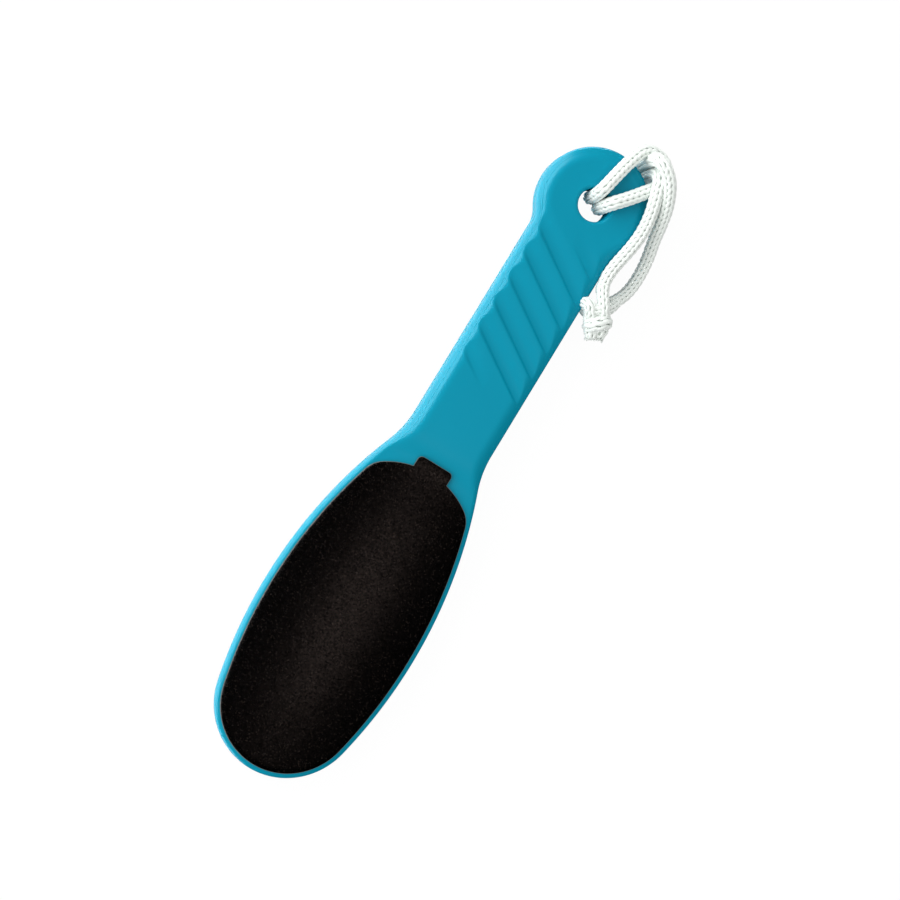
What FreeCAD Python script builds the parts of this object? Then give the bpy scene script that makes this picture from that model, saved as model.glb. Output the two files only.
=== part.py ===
import FreeCAD, Part
import math
import os
from FreeCAD import Vector

# A two-sided foot file, in millimetres. X runs along the file from the paddle's tip to the
# head, Y across it, and Z out of its front face. The origin is the centre of the body.

# Outline of the body, seen from the front
file_length = 250.0
paddle_half_width = 29.9
tip_radius_share = 0.87
side_radius = 172.0
neck_radius = 36.0
handle_half_width = 15.5
head_blend_radius = 10.0
head_radius = 20.6

# Heights of the body above the joint face between its two shells
face_height = 6.0
face_edge_radius = 5.5
crown_radius = 240.0
crown_tip_height = 3.9
crown_root_height = 4.5
rim_bevel = 1.4
rim_height_share = 0.04
paddle_end_x = 4.0
runout_x = -6.0
ramp_top_x = 2.4
ramp_angle = 14.3

# Walls, ribs, pins and weld tongues of the two shells
face_wall = 2.2
rim_wall = 3.4
rib_thickness = 1.2
rib_pitch = 22.0
rib_first_x = -106.0
rib_count = 9
shell_gap = 0.1
tongue_inset = 1.2
tongue_width = 1.0
tongue_height = 0.8
tongue_clearance = 0.12
pin_places = (-84.0, 70.0)
pin_radius = 1.5
pin_length = 1.2
pin_clearance = 0.1
pin_boss_radius = 3.2

# The hole for the cord, in the middle of the head
hole_radius = 5.9
hole_edge_bevel = 1.0
hole_boss_wall = 2.4

# Diagonal finger grips of the handle
grip_pitch = 10.1
grip_top_x = 96.6
grip_side_y = 11.9
grip_slant = 32.5
grip_depth = 0.7
grip_step_length = 0.6
grip_count = 7
grip_reach = 15.5
grip_fade_depth = 0.03
grip_mid_depth_share = 0.36

# Replaceable pads, stacked outwards from the paddle's face
pad_gap = 0.2
backing_thickness = 0.4
abrasive_thickness = 0.4
pad_margin = 2.2
pad_end_radius_share = 1.0
pad_end_x = -6.0
pad_shoulder_radius = 9.0
tab_half_width = 6.65
tab_end_x = -2.3
tab_corner_radius = 1.6

# The hanging cord, hitched twice through the hole, with its knot and cut ends
cord_diameter = 4.2
cord_sides = 8
cord_step_angle = 20.0
bend_share = 0.45
cord_route = (
    (78.7, -18.7, 3.6),
    (83.5, -17.2, 4.2),
    (89.2, -17.2, 5.2),
    (95.1, -18.2, 6.7),
    (101.8, -19.1, 8.0),
    (108.5, -18.8, 9.0),
    (115.3, -16.9, 11.1),
    (125.8, -13.0, 12.2),
    (126.0, -12.7, -9.0),
    (115.0, -7.4, -9.4),
    (105.8, -3.1, -9.4),
    (105.8, -3.1, 9.6),
    (112.6, -9.1, 9.0),
    (118.5, -13.5, 7.7),
    (123.6, -17.2, 5.2),
    (129.8, -17.0, 4.2),
    (133.8, -12.0, 4.4),
    (132.9, -5.1, 5.6),
    (125.2, -2.5, 7.8),
    (116.6, -0.5, 9.0),
    (107.5, 1.4, 9.6),
    (107.5, 1.4, -9.4),
    (117.0, -3.1, -9.4),
    (128.8, -9.1, -9.0),
    (128.7, -8.9, 15.4),
    (125.1, -17.0, 15.0),
    (118.6, -21.5, 11.4),
    (112.5, -23.4, 7.0),
    (106.0, -25.0, 3.2),
    (100.1, -27.1, 0.2),
    (93.8, -28.2, -1.8),
    (87.4, -28.0, -2.2),
    (82.0, -26.2, -1.2),
    (78.5, -23.5, 0.8),
)
knot_top = (78.9, -20.4, 4.2)
knot_middle = (75.5, -19.6, 3.6)
knot_bottom = (71.6, -20.6, 2.2)
knot_radius = 4.3
knot_end_radius = 2.4
left_tail = ((72.2, -19.0, 2.4), (68.6, -20.8, 1.8), (64.9, -23.2, 1.4))
left_tail_radii = (1.9, 2.1, 2.6)
right_tail = ((75.4, -22.8, 1.0), (71.9, -26.6, 0.4), (66.3, -27.6, 0.4))
right_tail_radii = (2.0, 2.5, 1.7)

# One overrun serves every cut, and one tolerance every joining
overrun = 3.0
join_tolerance = 0.001

# The places that follow from the outline's sizes
tip_radius = paddle_half_width * tip_radius_share
tip_centre = Vector(tip_radius - file_length / 2, 0, 0)
side_offset = math.sqrt((side_radius - tip_radius) ** 2 - (side_radius - paddle_half_width) ** 2)
side_centre = Vector(tip_centre.x + side_offset, paddle_half_width - side_radius, 0)
neck_rise = handle_half_width + neck_radius - side_centre.y
neck_run = math.sqrt((side_radius + neck_radius) ** 2 - neck_rise**2)
neck_centre = Vector(side_centre.x + neck_run, handle_half_width + neck_radius, 0)
head_centre = Vector(file_length / 2 - head_radius, 0, 0)
blend_rise = handle_half_width + head_blend_radius
blend_run = math.sqrt((head_radius + head_blend_radius) ** 2 - blend_rise**2)
blend_centre = Vector(head_centre.x - blend_run, blend_rise, 0)
ramp_slope = math.tan(math.radians(ramp_angle))
pad_end_radius = paddle_half_width * pad_end_radius_share
pad_end_centre = Vector(pad_end_x - pad_end_radius, 0, 0)


def polar(centre, radius, angle):
    """The point at that angle on a circle in the XY plane."""
    return centre + Vector(radius * math.cos(angle), radius * math.sin(angle), 0)


def heading(start, end):
    """The angle of the line from one point to another."""
    return math.atan2(end.y - start.y, end.x - start.x)


def arc(centre, radius, start, end):
    """An arc between two angles."""
    middle = (start + end) / 2
    points = [polar(centre, radius, angle) for angle in (start, middle, end)]
    return Part.Arc(*points).toShape()


def line(start, end):
    return Part.LineSegment(start, end).toShape()


def prism(points, depth):
    """A closed polygon pushed along a vector."""
    return Part.Face(Part.makePolygon(points + points[:1])).extrude(depth)


def joined(solids):
    """One clean solid made of overlapping ones."""
    return solids[0].fuse(solids[1:], join_tolerance).removeSplitter()


def mirrored(edges):
    """The same edges on the other side of the file."""
    return [edge.mirror(Vector(0, 0, 0), Vector(0, 1, 0)) for edge in edges]


def closed_face(half):
    """A face bounded by half an outline and its mirror image."""
    edges = Part.sortEdges(half + mirrored(half))[0]
    return Part.Face(Part.Wire(edges))


def turned_over(solid):
    """The same solid on the file's rear, turned about its length."""
    copy = solid.copy()
    copy.rotate(Vector(0, 0, 0), Vector(1, 0, 0), 180)
    return copy


def half_outline(inset):
    """The +Y half of the body's outline, drawn in by inset."""
    tip_angle = heading(side_centre, tip_centre)
    neck_angle = heading(side_centre, neck_centre)
    head_angle = heading(head_centre, blend_centre)
    side_y = handle_half_width - inset
    neck_arc = (neck_angle - math.pi, -math.pi / 2)
    blend_arc = (-math.pi / 2, head_angle - math.pi)
    return [
        arc(tip_centre, tip_radius - inset, math.pi, tip_angle),
        arc(side_centre, side_radius - inset, tip_angle, neck_angle),
        arc(neck_centre, neck_radius + inset, *neck_arc),
        line(Vector(neck_centre.x, side_y, 0), Vector(blend_centre.x, side_y, 0)),
        arc(blend_centre, head_blend_radius + inset, *blend_arc),
        arc(head_centre, head_radius - inset, head_angle, 0),
    ]


def plate(inset, low, high):
    """The outline as a plate between two heights."""
    face = closed_face(half_outline(inset))
    face.translate(Vector(0, 0, low))
    return face.extrude(Vector(0, 0, high - low))


def crown(offset):
    """Everything under the paddle's crowned face, moved out by offset."""
    tip = Vector(-file_length / 2, 0, crown_tip_height - crown_radius)
    root = Vector(0, 0, crown_root_height - crown_radius)
    along = (root - tip).normalize()
    length = file_length / 2 + paddle_end_x + 4 * overrun
    return Part.makeCylinder(crown_radius + offset, length, tip - along * overrun, along)


def ramp(offset):
    """Everything under the handle's face and its ramp, moved out by offset."""
    rise = offset / math.cos(math.radians(ramp_angle))
    top = face_height + offset
    corner_x = ramp_top_x - (rise - offset) / ramp_slope
    foot_x = corner_x - (top + overrun) / ramp_slope
    end_x = file_length / 2 + overrun
    half_width = paddle_half_width + overrun
    corners = [
        Vector(foot_x, -half_width, -overrun),
        Vector(corner_x, -half_width, top),
        Vector(end_x, -half_width, top),
        Vector(end_x, -half_width, -overrun),
    ]
    return prism(corners, Vector(0, 2 * half_width, 0))


def paddle_zone():
    """The paddle's length, with a slanted end that runs out into the neck."""
    half_width = paddle_half_width + overrun
    top = face_height + overrun
    start_x = -file_length / 2 - overrun
    corners = [
        Vector(start_x, -half_width, -overrun),
        Vector(start_x, -half_width, top),
        Vector(runout_x, -half_width, top),
        Vector(runout_x, -half_width, crown_root_height),
        Vector(paddle_end_x, -half_width, 0),
        Vector(paddle_end_x, -half_width, -overrun),
    ]
    return prism(corners, Vector(0, 2 * half_width, 0))


def edges_at_top(solid, height):
    """The edges of a plate's upper face."""
    return [edge for edge in solid.Edges if all(abs(v.Z - height) < 1e-6 for v in edge.Vertexes)]


def handle_half():
    """The flat half of the body, rounded along its edge and ramped down to the paddle."""
    solid = plate(0, 0, face_height)
    solid = solid.makeFillet(face_edge_radius, edges_at_top(solid, face_height))
    return solid.common(ramp(0))


def long_rim(solid):
    """The edges that follow the paddle's rim, above the joint face."""
    return [
        edge
        for edge in solid.Edges
        if abs(edge.CenterOfMass.y) > overrun
        and edge.Length > tip_radius
        and edge.BoundBox.ZMin > paddle_half_width * rim_height_share
    ]


def paddle_half():
    """The crowned half of the paddle, eased along its rim by a bevel."""
    solid = plate(0, 0, face_height).common(crown(0)).removeSplitter()
    return solid.makeChamfer(rim_bevel, long_rim(solid)).common(paddle_zone())


def grip_place(index, side_y):
    """Where a slanted grip line crosses the given distance across the handle."""
    slant = math.tan(math.radians(grip_slant))
    return grip_top_x - index * grip_pitch - (grip_side_y - side_y) * slant


def grip_profile(index, side_y, depth):
    """A grip's section: a short step down, then a long curve up to the next one."""
    x = grip_place(index, side_y)
    top = face_height + overrun
    floor = face_height - depth
    step_x = x + grip_step_length
    middle_x = x + (grip_step_length + grip_pitch) / 2
    end_x = x + grip_pitch
    corners = [(end_x, top), (x, top), (x, face_height), (step_x, floor)]
    points = [Vector(px, side_y, pz) for px, pz in corners]
    middle = Vector(middle_x, side_y, face_height - depth * grip_mid_depth_share)
    end = Vector(end_x, side_y, face_height)
    edges = [line(start, stop) for start, stop in zip(points, points[1:])]
    edges.append(Part.Arc(points[-1], middle, end).toShape())
    edges.append(line(end, points[0]))
    return Part.Wire(edges)


def grip_cutters():
    """The finger grips, the first and last of which fade out half way across."""
    cutters = []
    for index in range(grip_count):
        first = index == 0
        last = index == grip_count - 1
        ends = [(0.0, grip_fade_depth) if first else (grip_reach, grip_depth)]
        ends.append((0.0, grip_fade_depth) if last else (-grip_reach, grip_depth))
        profiles = [grip_profile(index, side_y, depth) for side_y, depth in ends]
        cutters.append(Part.makeLoft(profiles, True, True))
    return cutters


def outer_half():
    """One half of the body, solid, with its finger grips."""
    half = joined([handle_half(), paddle_half()])
    for cutter in grip_cutters():
        half = half.cut(cutter)
    return half


def pegs(radius, low, high):
    """Upright round pegs at the locating pins' places."""
    return [Part.makeCylinder(radius, high - low, Vector(x, 0, low)) for x in pin_places]


def hollow():
    """The room inside one shell, with its ribs, pin bosses and hole lining left standing."""
    handle_room = plate(rim_wall, -overrun, face_height).common(ramp(-face_wall))
    paddle_room = plate(rim_wall, -overrun, face_height).common(crown(-face_wall))
    room = joined([handle_room, paddle_room.common(paddle_zone())])
    standing = pegs(pin_boss_radius, shell_gap, face_height)
    for index in range(rib_count):
        x = rib_first_x + index * rib_pitch - rib_thickness / 2
        corner = Vector(x, -paddle_half_width, shell_gap)
        standing.append(Part.makeBox(rib_thickness, 2 * paddle_half_width, face_height, corner))
    lining_radius = hole_radius + hole_boss_wall
    depth = face_height + 2 * overrun
    lining = Part.makeCylinder(lining_radius, depth, head_centre - Vector(0, 0, overrun))
    return room.cut(joined(standing)).cut(lining)


def cord_hole():
    """The hole through one half, with its bevelled mouth."""
    bore = Part.makeCylinder(hole_radius, face_height + overrun, head_centre)
    mouth_height = face_height - hole_edge_bevel
    reach = hole_edge_bevel + overrun
    place = head_centre + Vector(0, 0, mouth_height)
    mouth = Part.makeCone(hole_radius, hole_radius + reach, reach, place)
    return bore.fuse(mouth)


def tongues(clearance):
    """Straight weld tongues along both sides of the handle, half above the joint face."""
    length = blend_centre.x - neck_centre.x + 2 * clearance
    width = tongue_width + 2 * clearance
    height = tongue_height + clearance
    inner_y = handle_half_width - tongue_inset - tongue_width - clearance
    x = neck_centre.x - clearance
    sides = [inner_y, -inner_y - width]
    return [Part.makeBox(length, width, 2 * height, Vector(x, y, -height)) for y in sides]


def front_shell():
    """The front shell, whose pins and tongues reach down past the joint face."""
    shell = outer_half().cut(hollow()).cut(cord_hole())
    pins = pegs(pin_radius, -pin_length, face_height - face_wall)
    return joined([shell] + pins + tongues(0))


def rear_shell():
    """The rear shell, with sockets and grooves for the front one."""
    shell = outer_half().cut(hollow()).cut(cord_hole())
    socket_radius = pin_radius + pin_clearance
    for cut in pegs(socket_radius, -overrun, pin_length + pin_clearance):
        shell = shell.cut(cut)
    for groove in tongues(tongue_clearance):
        shell = shell.cut(groove)
    return turned_over(shell)


def pad_outline():
    """The +Y half of a pad's outline, with the pull tab at its root."""
    side = side_radius - pad_margin
    inner_side = side - pad_shoulder_radius
    inner_end = pad_end_radius - pad_shoulder_radius
    between = (pad_end_centre - side_centre).Length
    reach = heading(side_centre, pad_end_centre)
    cosine = (inner_side**2 + between**2 - inner_end**2) / (2 * inner_side * between)
    shoulder_centre = polar(side_centre, inner_side, reach - math.acos(cosine))
    tip_angle = heading(side_centre, tip_centre)
    side_angle = heading(side_centre, shoulder_centre)
    end_angle = heading(pad_end_centre, shoulder_centre)
    tab_angle = math.asin(tab_half_width / pad_end_radius)
    tab_root = polar(pad_end_centre, pad_end_radius, tab_angle)
    corner_x = tab_end_x - tab_corner_radius
    corner_y = tab_half_width - tab_corner_radius
    return [
        arc(tip_centre, tip_radius - pad_margin, math.pi, tip_angle),
        arc(side_centre, side, tip_angle, side_angle),
        arc(shoulder_centre, pad_shoulder_radius, side_angle, end_angle),
        arc(pad_end_centre, pad_end_radius, end_angle, tab_angle),
        line(tab_root, Vector(corner_x, tab_half_width, 0)),
        arc(Vector(corner_x, corner_y, 0), tab_corner_radius, math.pi / 2, 0),
        line(Vector(tab_end_x, corner_y, 0), Vector(tab_end_x, 0, 0)),
    ]


def pad_layer(low, thickness):
    """A pad's layer that starts at a distance from the paddle's face."""
    blank = closed_face(pad_outline()).extrude(Vector(0, 0, face_height + overrun))
    high = low + thickness
    upper = blank.common(crown(high)).fuse(blank.common(ramp(high)))
    return upper.cut(crown(low)).cut(ramp(low)).removeSplitter()


def pads():
    """The layers of both pads by name, from the paddle's face outwards."""
    layers = {}
    low = pad_gap
    for name, thickness in (
        ("backing", backing_thickness),
        ("abrasive", abrasive_thickness),
    ):
        layer = pad_layer(low, thickness)
        layers["front_" + name] = layer
        layers["rear_" + name] = turned_over(layer)
        low += thickness
    return layers


def ring(centre, direction, radius):
    """A closed ring of points, square to a direction, for cord and knot sections."""
    along = Vector(direction).normalize()
    side = along.cross(Vector(0, 0, 1)).normalize()
    up = side.cross(along)
    points = []
    for index in range(cord_sides + 1):
        angle = 2 * math.pi * index / cord_sides
        points.append(centre + side * radius * math.cos(angle) + up * radius * math.sin(angle))
    return points


def faceted(rings):
    """A closed solid of flat faces through rings of points."""
    outlines = [rings[0], rings[-1]]
    for lower, upper in zip(rings, rings[1:]):
        for index in range(cord_sides):
            low, next_low = lower[index : index + 2]
            high, next_high = upper[index : index + 2]
            outlines.append([low, next_low, next_high, high, low])
    shell = Part.makeShell([Part.Face(Part.makePolygon(outline)) for outline in outlines])
    shell.sewShape()
    return Part.makeSolid(shell)


def cord_rings(route):
    """Rings carried over the cord's straight runs and round its tangent arcs, without a twist."""
    points = [Vector(*point) for point in route]
    rings = [ring(points[0], points[1] - points[0], cord_diameter / 2)]
    radii = []
    length = 0
    place = points[0]
    for before, corner, after in zip(points, points[1:], points[2:]):
        arriving = corner - before
        leaving = after - corner
        trim = bend_share * min(arriving.Length, leaving.Length)
        turn = arriving.getAngle(leaving)
        radius = trim / math.tan(turn / 2)
        arriving.normalize()
        leaving.normalize()
        enter = corner - arriving * trim
        axis = arriving.cross(leaving).normalize()
        centre = enter + axis.cross(arriving) * radius
        entering = [point + enter - place for point in rings[-1]]
        rings.append(entering)
        steps = math.ceil(turn / math.radians(cord_step_angle))
        for step in range(1, steps + 1):
            rotation = FreeCAD.Rotation(axis, math.degrees(turn * step / steps))
            rings.append([centre + rotation.multVec(point - centre) for point in entering])
        radii.append(radius)
        length += (enter - place).Length + radius * turn
        place = corner + leaving * trim
    rings.append([point + points[-1] - place for point in rings[-1]])
    return rings, radii, length + (points[-1] - place).Length


def hang_cord():
    """The cord between its knot's two sides, as a faceted tube."""
    rings, radii, length = cord_rings(cord_route)
    tube = faceted(rings)
    area = Part.Face(Part.makePolygon(rings[0])).Area
    print("cord radii", [round(radius, 1) for radius in radii])
    print("cord length", round(length, 1), "volume ratio", round(tube.Volume / (area * length), 4))
    return tube


def lump(places, radii):
    """A plain solid through rings at the given places, all square to its length."""
    points = [Vector(*place) for place in places]
    length = points[-1] - points[0]
    return faceted([ring(point, length, radius) for point, radius in zip(points, radii)])


def cord_knot():
    """The outer shape of the overhand knot."""
    places = (knot_top, knot_middle, knot_bottom)
    return lump(places, (knot_end_radius, knot_radius, knot_end_radius))


def cord_tails():
    """The cord's two short cut ends, below the knot."""
    tails = [lump(left_tail, left_tail_radii), lump(right_tail, right_tail_radii)]
    return Part.Compound(tails)


def sub_parts():
    """Every sub-part of the file by name."""
    parts = {"front_shell": front_shell(), "rear_shell": rear_shell()}
    parts.update(pads())
    parts["hang_cord"] = hang_cord()
    parts["cord_knot"] = cord_knot()
    parts["cord_tails"] = cord_tails()
    return parts


os.makedirs("parts", exist_ok=True)
for name, shape in sub_parts().items():
    print(name, shape.isValid(), len(shape.Solids), round(shape.Volume, 1))
    shape.exportStep(os.path.join("parts", name + ".step"))
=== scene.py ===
import math

import bmesh
import bpy
import numpy as np
from mathutils import Matrix, Vector


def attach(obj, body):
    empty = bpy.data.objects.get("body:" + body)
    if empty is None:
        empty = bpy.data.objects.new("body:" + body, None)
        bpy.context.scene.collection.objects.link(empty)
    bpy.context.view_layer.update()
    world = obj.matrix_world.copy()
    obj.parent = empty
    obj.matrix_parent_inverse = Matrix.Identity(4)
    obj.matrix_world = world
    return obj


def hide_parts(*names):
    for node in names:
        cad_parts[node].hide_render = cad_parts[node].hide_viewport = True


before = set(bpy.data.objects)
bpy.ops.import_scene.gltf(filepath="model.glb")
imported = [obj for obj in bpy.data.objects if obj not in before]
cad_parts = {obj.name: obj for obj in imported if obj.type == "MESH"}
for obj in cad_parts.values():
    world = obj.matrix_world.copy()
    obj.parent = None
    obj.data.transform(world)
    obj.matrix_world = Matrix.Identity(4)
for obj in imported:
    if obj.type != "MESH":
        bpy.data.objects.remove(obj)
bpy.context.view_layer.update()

MM = 0.001

# The file's outline and heights, the same as its solids have, in millimetres
LENGTH = 250.0
PADDLE_HALF_WIDTH = 29.9
TIP_RADIUS = 0.87 * PADDLE_HALF_WIDTH
SIDE_RADIUS = 172.0
NECK_RADIUS = 36.0
HANDLE_HALF_WIDTH = 15.5
BLEND_RADIUS = 10.0
HEAD_RADIUS = 20.6
FACE_HEIGHT = 6.0
FACE_EDGE_RADIUS = 5.5
CROWN_RADIUS = 240.0
CROWN_TIP_HEIGHT = 3.9
CROWN_ROOT_HEIGHT = 4.5
RAMP_TOP_X = 2.4
RAMP_ANGLE = math.radians(14.3)
HOLE_RADIUS = 5.9

# Roundings in place of the solids' bevels, the parting groove, and how softly the faces meet
RIM_RADIUS = 2.0
HOLE_EDGE_RADIUS = 1.5
PARTING_GROOVE = 0.12
GRIP_SOFTNESS = 0.12
SLOPE_SOFTNESS = 0.9
PADDLE_SOFTNESS = 0.35

# The fine double line along the handle's rounded edge
SEAM_INSETS = (1.2, 1.75)
SEAM_WIDTH = 0.13
SEAM_HEIGHT = 0.09
SEAM_REACH = 3 * SEAM_WIDTH
SEAM_RING_STEP = SEAM_WIDTH / 2

# The finger grips: their places as in the solids, with a depth and a profile of their own
GRIP_COUNT = 7
GRIP_PITCH = 10.1
GRIP_TOP_X = 96.6
GRIP_SIDE_Y = 11.9
GRIP_SLANT = math.tan(math.radians(32.5))
GRIP_DEPTH = 1.25
GRIP_CREST = 0.9
GRIP_STEP = 0.3
GRIP_STEP_SHARE = 0.62
GRIP_FALL = 4.2
GRIP_REACH = 15.5

# The pads, as their solids are, and how far the backing shows past the grit
PAD_MARGIN = 2.2
PAD_END_RADIUS = PADDLE_HALF_WIDTH
PAD_END_X = -6.0
PAD_SHOULDER_RADIUS = 9.0
TAB_HALF_WIDTH = 6.65
TAB_END_X = -2.3
TAB_CORNER_RADIUS = 1.6
PAD_GAP = 0.2
BACKING_THICKNESS = 0.4
ABRASIVE_THICKNESS = 0.4
BACKING_SHOW = 0.2

# Mesh spacing along the outline's elements and across the face, and how a finished mesh is
# welded and smoothed
OUTLINE_STEPS = (0.7, 0.8, 0.5, 0.3, 0.3, 0.4)
PAD_STEP = 0.6
PAD_CORNER_STEP = PAD_STEP / 3
ROUNDING_RINGS = 18
INNER_RINGS = 60
PAD_RINGS = 24
LAST_SHARE = 0.9
LEAST_SQUARENESS = 0.5
IN_PLANE = 1e-6
WELD_DISTANCE = 1e-6
THIN_EDGE = 1e-7
SHELL_SMOOTH_ANGLE = math.radians(50)
SHEET_SMOOTH_ANGLE = math.radians(40)

# Centres that follow from the outline
TIP_CENTRE = np.array([TIP_RADIUS - LENGTH / 2, 0.0])
SIDE_OFFSET = math.sqrt((SIDE_RADIUS - TIP_RADIUS) ** 2 - (SIDE_RADIUS - PADDLE_HALF_WIDTH) ** 2)
SIDE_CENTRE = np.array([TIP_CENTRE[0] + SIDE_OFFSET, PADDLE_HALF_WIDTH - SIDE_RADIUS])
NECK_RISE = HANDLE_HALF_WIDTH + NECK_RADIUS - SIDE_CENTRE[1]
NECK_RUN = math.sqrt((SIDE_RADIUS + NECK_RADIUS) ** 2 - NECK_RISE**2)
NECK_CENTRE = np.array([SIDE_CENTRE[0] + NECK_RUN, HANDLE_HALF_WIDTH + NECK_RADIUS])
HEAD_CENTRE = np.array([LENGTH / 2 - HEAD_RADIUS, 0.0])
BLEND_RISE = HANDLE_HALF_WIDTH + BLEND_RADIUS
BLEND_RUN = math.sqrt((HEAD_RADIUS + BLEND_RADIUS) ** 2 - BLEND_RISE**2)
BLEND_CENTRE = np.array([HEAD_CENTRE[0] - BLEND_RUN, BLEND_RISE])
PAD_END_CENTRE = np.array([PAD_END_X - PAD_END_RADIUS, 0.0])

# Up to this x, the mesh columns of the tip all meet at its centre
TIP_FAN_END_X = TIP_CENTRE[0] - TIP_RADIUS / 4


def heading(start, end):
    """The angle of the line from one point to another."""
    return math.atan2(end[1] - start[1], end[0] - start[0])


def arc_points(centre, radius, start, end, step=PAD_STEP):
    """Points along an arc, without its last one."""
    count = max(2, math.ceil(abs(end - start) * radius / step))
    angles = start + (end - start) * np.arange(count) / count
    return np.stack([centre[0] + radius * np.cos(angles), centre[1] + radius * np.sin(angles)], 1)


def line_points(start, end, step=PAD_STEP):
    """Points along a line, without its last one."""
    start, end = np.array(start), np.array(end)
    count = max(1, math.ceil(np.linalg.norm(end - start) / step))
    return start + (end - start) * (np.arange(count) / count)[:, None]


def body_outline():
    """The +Y half of the body's outline from the tip to the head, with each point's element."""
    tip_angle = heading(SIDE_CENTRE, TIP_CENTRE)
    neck_angle = heading(SIDE_CENTRE, NECK_CENTRE)
    head_angle = heading(HEAD_CENTRE, BLEND_CENTRE)
    down = -math.pi / 2
    handle = [(centre[0], HANDLE_HALF_WIDTH) for centre in (NECK_CENTRE, BLEND_CENTRE)]
    tip, side, neck, straight, blend, head = OUTLINE_STEPS
    runs = [
        arc_points(TIP_CENTRE, TIP_RADIUS, math.pi, tip_angle, tip),
        arc_points(SIDE_CENTRE, SIDE_RADIUS, tip_angle, neck_angle, side),
        arc_points(NECK_CENTRE, NECK_RADIUS, neck_angle - math.pi, down, neck),
        line_points(*handle, straight),
        arc_points(BLEND_CENTRE, BLEND_RADIUS, down, head_angle - math.pi, blend),
        arc_points(HEAD_CENTRE, HEAD_RADIUS, head_angle, 0.0, head),
        np.array([[LENGTH / 2, 0.0]]),
    ]
    elements = np.concatenate([np.full(len(run), index) for index, run in enumerate(runs)])
    return np.concatenate(runs), np.minimum(elements, len(runs) - 2)


def inset_from(element, points):
    """How far points lie inside the outline, measured from one of its elements."""
    centres = (TIP_CENTRE, SIDE_CENTRE, NECK_CENTRE, None, BLEND_CENTRE, HEAD_CENTRE)
    radii = (TIP_RADIUS, SIDE_RADIUS, -NECK_RADIUS, None, -BLEND_RADIUS, HEAD_RADIUS)
    if centres[element] is None:
        return HANDLE_HALF_WIDTH - np.abs(points[..., 1])
    above = np.stack([points[..., 0], np.abs(points[..., 1])], -1)
    away = np.linalg.norm(above - centres[element], axis=-1)
    radius = radii[element]
    return radius - away if radius > 0 else away + radius


def rounding(inset, radius):
    """How far a rounded edge drops below the face at an inset from the wall."""
    short = np.clip(radius - inset, 0, radius)
    return radius - np.sqrt(radius**2 - short**2)


def higher(a, b, softness):
    """The larger of two heights, with a soft change from one to the other."""
    return (a + b + np.sqrt((a - b) ** 2 + softness**2)) / 2


def lower(a, b, softness):
    """The smaller of two heights, with a soft change from one to the other."""
    return -higher(-a, -b, softness)


def crown(x, y):
    """The height of the paddle's crowned face."""
    ridge = CROWN_ROOT_HEIGHT + (CROWN_ROOT_HEIGHT - CROWN_TIP_HEIGHT) * 2 * x / LENGTH
    return ridge - CROWN_RADIUS + np.sqrt(CROWN_RADIUS**2 - y**2)


def ramp(x):
    """The height of the slope from the handle's face down to the paddle."""
    return FACE_HEIGHT - (RAMP_TOP_X - x) * math.tan(RAMP_ANGLE)


def grips(x, y):
    """How deep the finger grips are: a short step, a hollow that runs out, a rise to the next.

    The first and the last one fade out half way across.
    """
    depth = np.zeros_like(x)
    for index in range(GRIP_COUNT):
        edge = GRIP_TOP_X - index * GRIP_PITCH - (GRIP_SIDE_Y - y) * GRIP_SLANT
        along = x - edge
        step = np.clip((along + GRIP_CREST) / (GRIP_CREST + GRIP_STEP), 0, 1)
        fall = np.clip(along / GRIP_FALL, 0, 1)
        rise = np.clip((along - GRIP_STEP) / (GRIP_PITCH - GRIP_CREST - GRIP_STEP), 0, 1)
        step_part = GRIP_STEP_SHARE * smooth(step)
        fall_part = (1 - GRIP_STEP_SHARE) * (1 - (1 - fall) ** 2)
        shape = (step_part + fall_part) * (1 - smooth(rise))
        fade = np.ones_like(x)
        if index == 0:
            fade = np.clip(-y / GRIP_REACH, 0, 1)
        if index == GRIP_COUNT - 1:
            fade = np.clip(y / GRIP_REACH, 0, 1)
        depth = np.maximum(depth, GRIP_DEPTH * fade * shape)
    return depth


def smooth(share):
    """A share from 0 to 1 that starts and ends without a kink."""
    return share**2 * (3 - 2 * share)


def seam(inset):
    """The height of the double line at an inset from the wall."""
    lines = [np.exp(-(((inset - place) / SEAM_WIDTH) ** 2)) for place in SEAM_INSETS]
    return SEAM_HEIGHT * sum(lines)


def body_height(x, y, inset):
    """The height of the body's face over the joint face."""
    face = FACE_HEIGHT - rounding(inset, FACE_EDGE_RADIUS) + seam(inset)
    face = lower(face, FACE_HEIGHT - grips(x, y), GRIP_SOFTNESS)
    handle = lower(face, ramp(x), SLOPE_SOFTNESS)
    paddle = crown(x, y) - rounding(inset, RIM_RADIUS)
    height = higher(handle, paddle, PADDLE_SOFTNESS)
    from_hole = np.hypot(x - HEAD_CENTRE[0], y) - HOLE_RADIUS
    return height - rounding(from_hole, HOLE_EDGE_RADIUS)


def run_lengths(points):
    """How far along a line each of its points lies."""
    steps = np.linalg.norm(np.diff(points, axis=0), axis=1)
    return np.concatenate([[0], np.cumsum(steps)])


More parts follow.
